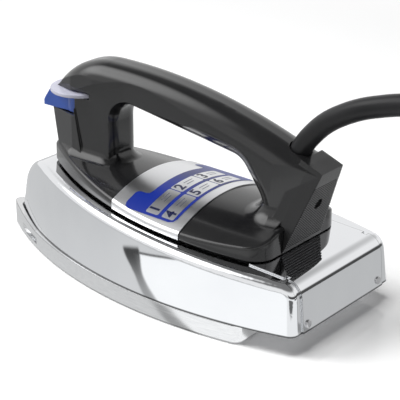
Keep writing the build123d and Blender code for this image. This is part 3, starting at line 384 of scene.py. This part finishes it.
cord_curve = bpy.data.curves.new("cord_line", "CURVE")
cord_curve.dimensions = "3D"
cord_spline = cord_curve.splines.new("NURBS")
cord_spline.points.add(len(cord_route) - 1)
for point, place in zip(cord_spline.points, cord_route):
    point.co = (place[0], place[1], place[2], 1.0)
cord_spline.order_u = 3
cord_spline.use_endpoint_u = True
cord_spline.resolution_u = 8
cord_curve.bevel_depth = 0.00375
cord_curve.bevel_resolution = 5
cord_curve.use_fill_caps = True
cord_curve.materials.append(cord_rubber)
cord_line = bpy.data.objects.new("cord_line", cord_curve)
scene.collection.objects.link(cord_line)
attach(cord_line, "iron")
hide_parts("cord", "cord_coil")

# Tie: a strap round the turns, with round corners
tie_half_width = 0.0146
tie_half_height = 0.0080
tie_corner = 0.005
tie_floor_gap = 0.0005
tie_out = (max(coil_radii) + min(coil_radii)) / 2
corner_points = 7
tie_curve = bpy.data.curves.new("coil_tie", "CURVE")
tie_curve.dimensions = "2D"
tie_curve.fill_mode = "NONE"
tie_curve.extrude = 0.003
tie_curve.bevel_depth = 0.0004
tie_spline = tie_curve.splines.new("POLY")
tie_spline.points.add(4 * corner_points - 1)
for index, point in enumerate(tie_spline.points):
    quarter, step = divmod(index, corner_points)
    angle = math.radians(90 * (quarter + step / (corner_points - 1)))
    side_x = 1 if quarter in (0, 3) else -1
    side_y = 1 if quarter in (0, 1) else -1
    point.co = (side_x * (tie_half_width - tie_corner) + tie_corner * math.cos(angle),
                side_y * (tie_half_height - tie_corner) + tie_corner * math.sin(angle), 0.0, 1.0)
tie_spline.use_cyclic_u = True
tie_curve.materials.append(black_rubber)
coil_tie = bpy.data.objects.new("coil_tie", tie_curve)
coil_tie.location = (coil_centre[0] + tie_out, coil_centre[1], tie_half_height + tie_floor_gap)
coil_tie.rotation_euler = (math.pi / 2, 0.0, 0.0)
scene.collection.objects.link(coil_tie)
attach(coil_tie, "iron")


# Settings chart on the label sheet: a blue field with light cells, bars and plain numbers

label_radius = 0.0937
label_slope = math.radians(2.0)
label_origin = Vector((0.042, 0.0, -0.0322))
label_axis = Vector((math.cos(label_slope), 0.0, -math.sin(label_slope)))
label_up = Vector((math.sin(label_slope), 0.0, math.cos(label_slope)))
field_lift = 0.00012
cell_lift = 0.00018
ink_lift = 0.00024

# Sizes on the flat sheet, in millimetres: x of the iron and the distance round the bend
per_metre = 1000
bend_reach = 44
bend_step = 2
field = [(36.5, 34), (36.5, -38), (35.3, -40.8), (32.5, -42), (3, -42), (0.2, -40.8), (-1, -38),
         (-1, -29.5), (0, -27.5), (2.5, -27), (5.2, -27), (7, -26.2), (7.6, -24), (7.6, 22),
         (7, 24.2), (5.2, 25), (2.5, 25), (0, 25.5), (-1, 27.5), (-1, 34), (0.2, 36.8), (3, 38),
         (32.5, 38), (35.3, 36.8)]
columns = ((-40.2, -17.3), (-16.6, 3.8), (4.5, 25.3))
rows = ((14.5, 23.5), (26.0, 34.6))
cell_round = 1.2
corner_steps = 4
number_size = 9.6
number_weight = 0.30
number_inset = 4.0
bar_lines = ((-1.5, 8.0), (0.9, 6.5))  # place from the cell's middle, and length
bar_half_width = 0.28
bar_round = 0.25
bar_inset = 11.6


def on_label(x, along, lift):
    """Point over the label sheet: x of the iron, distance round the bend, height above it."""
    angle = along / label_radius
    radius = label_radius + lift
    rise = radius * math.cos(angle)
    run = (x - label_origin.x - rise * label_up.x) / label_axis.x
    place = label_origin + label_axis * run + label_up * rise
    place.y = radius * math.sin(angle)
    return place


def rounded(x_low, x_high, along_low, along_high, radius):
    """Outline of a rounded rectangle on the flat sheet."""
    points = []
    corners = ((x_high, along_high, 0), (x_low, along_high, 90),
               (x_low, along_low, 180), (x_high, along_low, 270))
    for x, along, start in corners:
        centre_x = x - math.copysign(radius, x - (x_low + x_high) / 2)
        centre_along = along - math.copysign(radius, along - (along_low + along_high) / 2)
        for step in range(corner_steps + 1):
            angle = math.radians(start + 90 / corner_steps * step)
            points.append((centre_x + radius * math.cos(angle), centre_along + radius * math.sin(angle)))
    return points


def flat_print(shapes):
    """Flat mesh of several closed outlines."""
    mesh_edit = bmesh.new()
    for shape in shapes:
        corners = [mesh_edit.verts.new((x, along, 0)) for x, along in shape]
        mesh_edit.faces.new(corners)
    bmesh.ops.recalc_face_normals(mesh_edit, faces=mesh_edit.faces[:])
    for face in mesh_edit.faces:
        if face.normal.z < 0:
            face.normal_flip()
    return mesh_edit


def flat_number(text, x, along):
    """Flat mesh of a number, read along the bend with its head to the nose."""
    data = bpy.data.curves.new("number", "FONT")
    data.body = text
    data.size = number_size
    data.offset = number_weight
    data.align_x = "CENTER"
    data.align_y = "CENTER"
    holder = bpy.data.objects.new("number", data)
    scene.collection.objects.link(holder)
    bpy.context.view_layer.update()
    mesh = bpy.data.meshes.new_from_object(holder)
    for vertex in mesh.vertices:
        vertex.co = (x - vertex.co.y, along + vertex.co.x, 0)
    bpy.data.objects.remove(holder)
    return mesh


def print_on_label(name, mesh_edit, lift, material):
    """Bend flat print, drawn in millimetres, over the label sheet."""
    geometry = mesh_edit.verts[:] + mesh_edit.edges[:] + mesh_edit.faces[:]
    for cut in range(-bend_reach, bend_reach + 1, bend_step):
        cut_made = bmesh.ops.bisect_plane(mesh_edit, geom=geometry, plane_co=(0, cut, 0),
                                          plane_no=(0, 1, 0))
        geometry = cut_made["geom"]
    for vertex in mesh_edit.verts:
        vertex.co = on_label(vertex.co.x / per_metre, vertex.co.y / per_metre, lift)
    mesh = bpy.data.meshes.new(name)
    mesh_edit.to_mesh(mesh)
    mesh_edit.free()
    mesh.materials.append(material)
    piece = bpy.data.objects.new(name, mesh)
    scene.collection.objects.link(piece)
    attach(piece, "iron")


print_on_label("chart_field", flat_print([field]), field_lift, blue_print)
cells = []
bars = []
numbers = bmesh.new()
for row_index, row in enumerate(rows):
    middle = (row[0] + row[1]) / 2
    for column_index, column in enumerate(columns):
        cells.append(rounded(row[0], row[1], column[0], column[1], cell_round))
        start = column[1] - bar_inset
        for shift, length in bar_lines:
            place = middle + shift
            bars.append(rounded(place - bar_half_width, place + bar_half_width, start, start + length,
                                bar_round))
        setting = row_index * len(columns) + column_index + 1
        digit = flat_number(str(setting), middle, column[0] + number_inset)
        numbers.from_mesh(digit)
        bpy.data.meshes.remove(digit)
print_on_label("chart_cells", flat_print(cells), cell_lift, label_sheet)
print_on_label("chart_bars", flat_print(bars), ink_lift, grey_print)
print_on_label("chart_numbers", numbers, ink_lift, dark_print)


# Floor: white to the camera. To shiny surfaces only it glows as a painted reflection: a pale sheet with a
# dark edge of painted shadow on a darker ground.
# A change holds the two measures that it runs between, then the values there where they aren't 0 and 1.
# far_fade and spot_fade go by the square of a distance, and the other changes by a place or distance.

floor_half = 4.0
floor_drop = 0.0002
floor_grey = 0.90
floor_grey_seen = 1.16
painted_reflection_tint = (0.985, 0.995, 1.0, 1.0)
far_fade = (0.25, 0.55)
edge_start = (-0.076, -0.126)
edge_along = (0.89, 0.456)
rim_lean = 0.35
ground_fade = (-0.22, 0.0, 0.66, 0.76)
behind_fade = (0.112, 0.135, 0.0, -0.18)
sheet_gain = 0.40
sheet_edge = (0.0, 0.006)
sheet_rim = (0.001, 0.004)
line_half_width = (-0.01, 0.055, 0.011, 0.0045)
line_soft = (-0.002, 0.001, 1.0, 0.0)
line_start = (-0.016, -0.003)
line_depth = (0.0, 0.09, 0.90, 0.45)
rim_outside = (-0.006, -0.002)
rim_inside = (0.0, 0.003, 1.0, 0.0)
rim_start = (-0.002, 0.004)
rim_depth = (0.01, 0.16, 0.8, 0.0)
spot_centre = (0.245, -0.165)
spot_fade = (0.004, 0.008, 0.85, 0.0)


def square_distance(tree, x, y):
    """Square of the distance from the origin."""
    return math_node(tree, "ADD", product(tree, x, x), product(tree, y, y))


def dark_lines(tree, x, y, across, along, rim):
    """How dark the floor's painted reflection is along the sheet's edge (a painted shadow line), along its
    rim and in one round spot.
    """
    half_width = smooth(tree, along, *line_half_width)
    from_line = math_node(tree, "SUBTRACT", math_node(tree, "ABSOLUTE", across), half_width)
    painted_shadow_line = product(tree, smooth(tree, from_line, *line_soft), smooth(tree, along, *line_start),
                        smooth(tree, along, *line_depth))
    rim_line = product(tree, smooth(tree, rim, *rim_outside), smooth(tree, rim, *rim_inside),
                       smooth(tree, across, *rim_start), smooth(tree, across, *rim_depth))
    from_spot = square_distance(tree, math_node(tree, "SUBTRACT", x, spot_centre[0]),
                                math_node(tree, "SUBTRACT", y, spot_centre[1]))
    lines = math_node(tree, "MAXIMUM", painted_shadow_line, rim_line)
    return math_node(tree, "MAXIMUM", lines, smooth(tree, from_spot, *spot_fade))


def floor_in_metal(tree, x, y):
    """Brightness of the floor's painted reflection in shiny surfaces."""
    from_start_x = math_node(tree, "SUBTRACT", x, edge_start[0])
    from_start_y = math_node(tree, "SUBTRACT", y, edge_start[1])
    across = distance_along(tree, from_start_x, from_start_y, (edge_along[1], -edge_along[0]))
    along = distance_along(tree, from_start_x, from_start_y, edge_along)
    rim = math_node(tree, "SUBTRACT", along, product(tree, across, rim_lean))
    sheet = product(tree, smooth(tree, across, *sheet_edge), smooth(tree, rim, *sheet_rim))
    ground = math_node(tree, "ADD", smooth(tree, x, *ground_fade), smooth(tree, x, *behind_fade))
    lit = math_node(tree, "ADD", ground, product(tree, sheet, sheet_gain))
    dark = dark_lines(tree, x, y, across, along, rim)
    return product(tree, lit, math_node(tree, "SUBTRACT", 1.0, dark))


def mixed_shader(tree, factor, first, second):
    """Two shaders mixed by a factor."""
    node = add_node(tree, "ShaderNodeMixShader")
    tree.links.new(factor, node.inputs["Fac"])
    tree.links.new(first, node.inputs[1])
    tree.links.new(second, node.inputs[2])
    return node.outputs["Shader"]


floor_mesh = bpy.data.meshes.new("floor")
floor_corners = [(-floor_half, -floor_half, 0), (floor_half, -floor_half, 0),
                 (floor_half, floor_half, 0), (-floor_half, floor_half, 0)]
floor_mesh.from_pydata(floor_corners, [], [(0, 1, 2, 3)])
floor = bpy.data.objects.new("floor", floor_mesh)
floor.location.z = -floor_drop
scene.collection.objects.link(floor)

floor_material, floor_tree, floor_shader = new_material("floor_white")
floor_mesh.materials.append(floor_material)
floor_shader.inputs["Roughness"].default_value = 0.12
floor_shader.inputs["Specular IOR Level"].default_value = 0.5
floor_place = split_xyz(floor_tree, object_coords(floor_tree))
floor_paths = add_node(floor_tree, "ShaderNodeLightPath")
floor_tree.links.new(smooth(floor_tree, floor_paths.outputs["Is Camera Ray"], 0.0, 1.0, floor_grey,
                            floor_grey_seen),
                     floor_shader.inputs["Base Color"])
far_white = add_node(floor_tree, "ShaderNodeEmission")
far_out = square_distance(floor_tree, floor_place["X"], floor_place["Y"])
floor_seen = mixed_shader(floor_tree, smooth(floor_tree, far_out, *far_fade),
                          floor_shader.outputs["BSDF"], far_white.outputs["Emission"])
# The floor glows to shiny surfaces only, with this painted reflection in place of being lit
floor_painted_reflection = add_node(floor_tree, "ShaderNodeEmission", Color=painted_reflection_tint)
floor_tree.links.new(floor_in_metal(floor_tree, floor_place["X"], floor_place["Y"]),
                     floor_painted_reflection.inputs["Strength"])
floor_tree.links.new(mixed_shader(floor_tree, floor_paths.outputs["Is Glossy Ray"], floor_seen,
                                  floor_painted_reflection.outputs["Emission"]),
                     floor_tree.nodes["Material Output"].inputs["Surface"])


# World: white to the camera, with a little fill for dull surfaces. Shiny ones see it darker overhead and
# in a low band behind the heel, with one soft glow over the near side of the nose.
# A change is written as for the floor. It goes by the X or Z of a direction, or by how near that is to
# glow_way.

sky_fade = (0.50, 0.78, 0.97, 0.20)
band_height = (0.16, 0.27, 0.92, 0.0)
band_side = (0.30, 0.48)
glow_way = (-0.632, -0.356, 0.688)
glow_fade = (0.87, 0.99, 0.0, 3.2)
sky_fill = 0.06

world = bpy.data.worlds.new("studio")
scene.world = world
world.use_nodes = True
sky = world.node_tree
background = sky.nodes["Background"]
background.inputs["Color"].default_value = (1.0, 1.0, 1.0, 1.0)
sky_paths = add_node(sky, "ShaderNodeLightPath")
sky_way = add_node(sky, "ShaderNodeTexCoord").outputs["Generated"]
sky_place = split_xyz(sky, sky_way)
band = product(sky, smooth(sky, sky_place["Z"], *band_height), smooth(sky, sky_place["X"], *band_side))
sky_shown = product(sky, smooth(sky, sky_place["Z"], *sky_fade), math_node(sky, "SUBTRACT", 1.0, band))
glow_turn = add_node(sky, "ShaderNodeVectorMath", operation="DOT_PRODUCT")
sky.links.new(sky_way, glow_turn.inputs[0])
glow_turn.inputs[1].default_value = glow_way
sky_shown = math_node(sky, "ADD", sky_shown, smooth(sky, glow_turn.outputs["Value"], *glow_fade))
sky_mixed = add_node(sky, "ShaderNodeMix")
sky.links.new(sky_paths.outputs["Is Diffuse Ray"], sky_mixed.inputs["Factor"])
sky.links.new(sky_shown, sky_mixed.inputs["A"])
sky_mixed.inputs["B"].default_value = sky_fill
seen = math_node(sky, "MAXIMUM", sky_paths.outputs["Is Camera Ray"],
                 sky_paths.outputs["Is Transmission Ray"])
sky.links.new(math_node(sky, "MAXIMUM", seen, sky_mixed.outputs["Result"]),
              background.inputs["Strength"])


# Lamps

def soft_box(name, place, aim, side, power):
    """Square area lamp turned to a point, not seen in shiny surfaces."""
    data = bpy.data.lights.new(name, "AREA")
    data.shape = "SQUARE"
    data.size = side
    data.energy = power
    lamp = bpy.data.objects.new(name, data)
    lamp.location = place
    lamp.rotation_euler = (Vector(aim) - Vector(place)).to_track_quat("-Z", "Y").to_euler()
    lamp.visible_glossy = False
    scene.collection.objects.link(lamp)


soft_box("top_box", place=(-0.08, -0.12, 1.5), aim=(0.05, -0.05, 0.0), side=0.7, power=12.0)
soft_box("left_box", place=(-0.80, -0.45, 0.95), aim=(0.0, 0.0, 0.08), side=0.55, power=10.5)
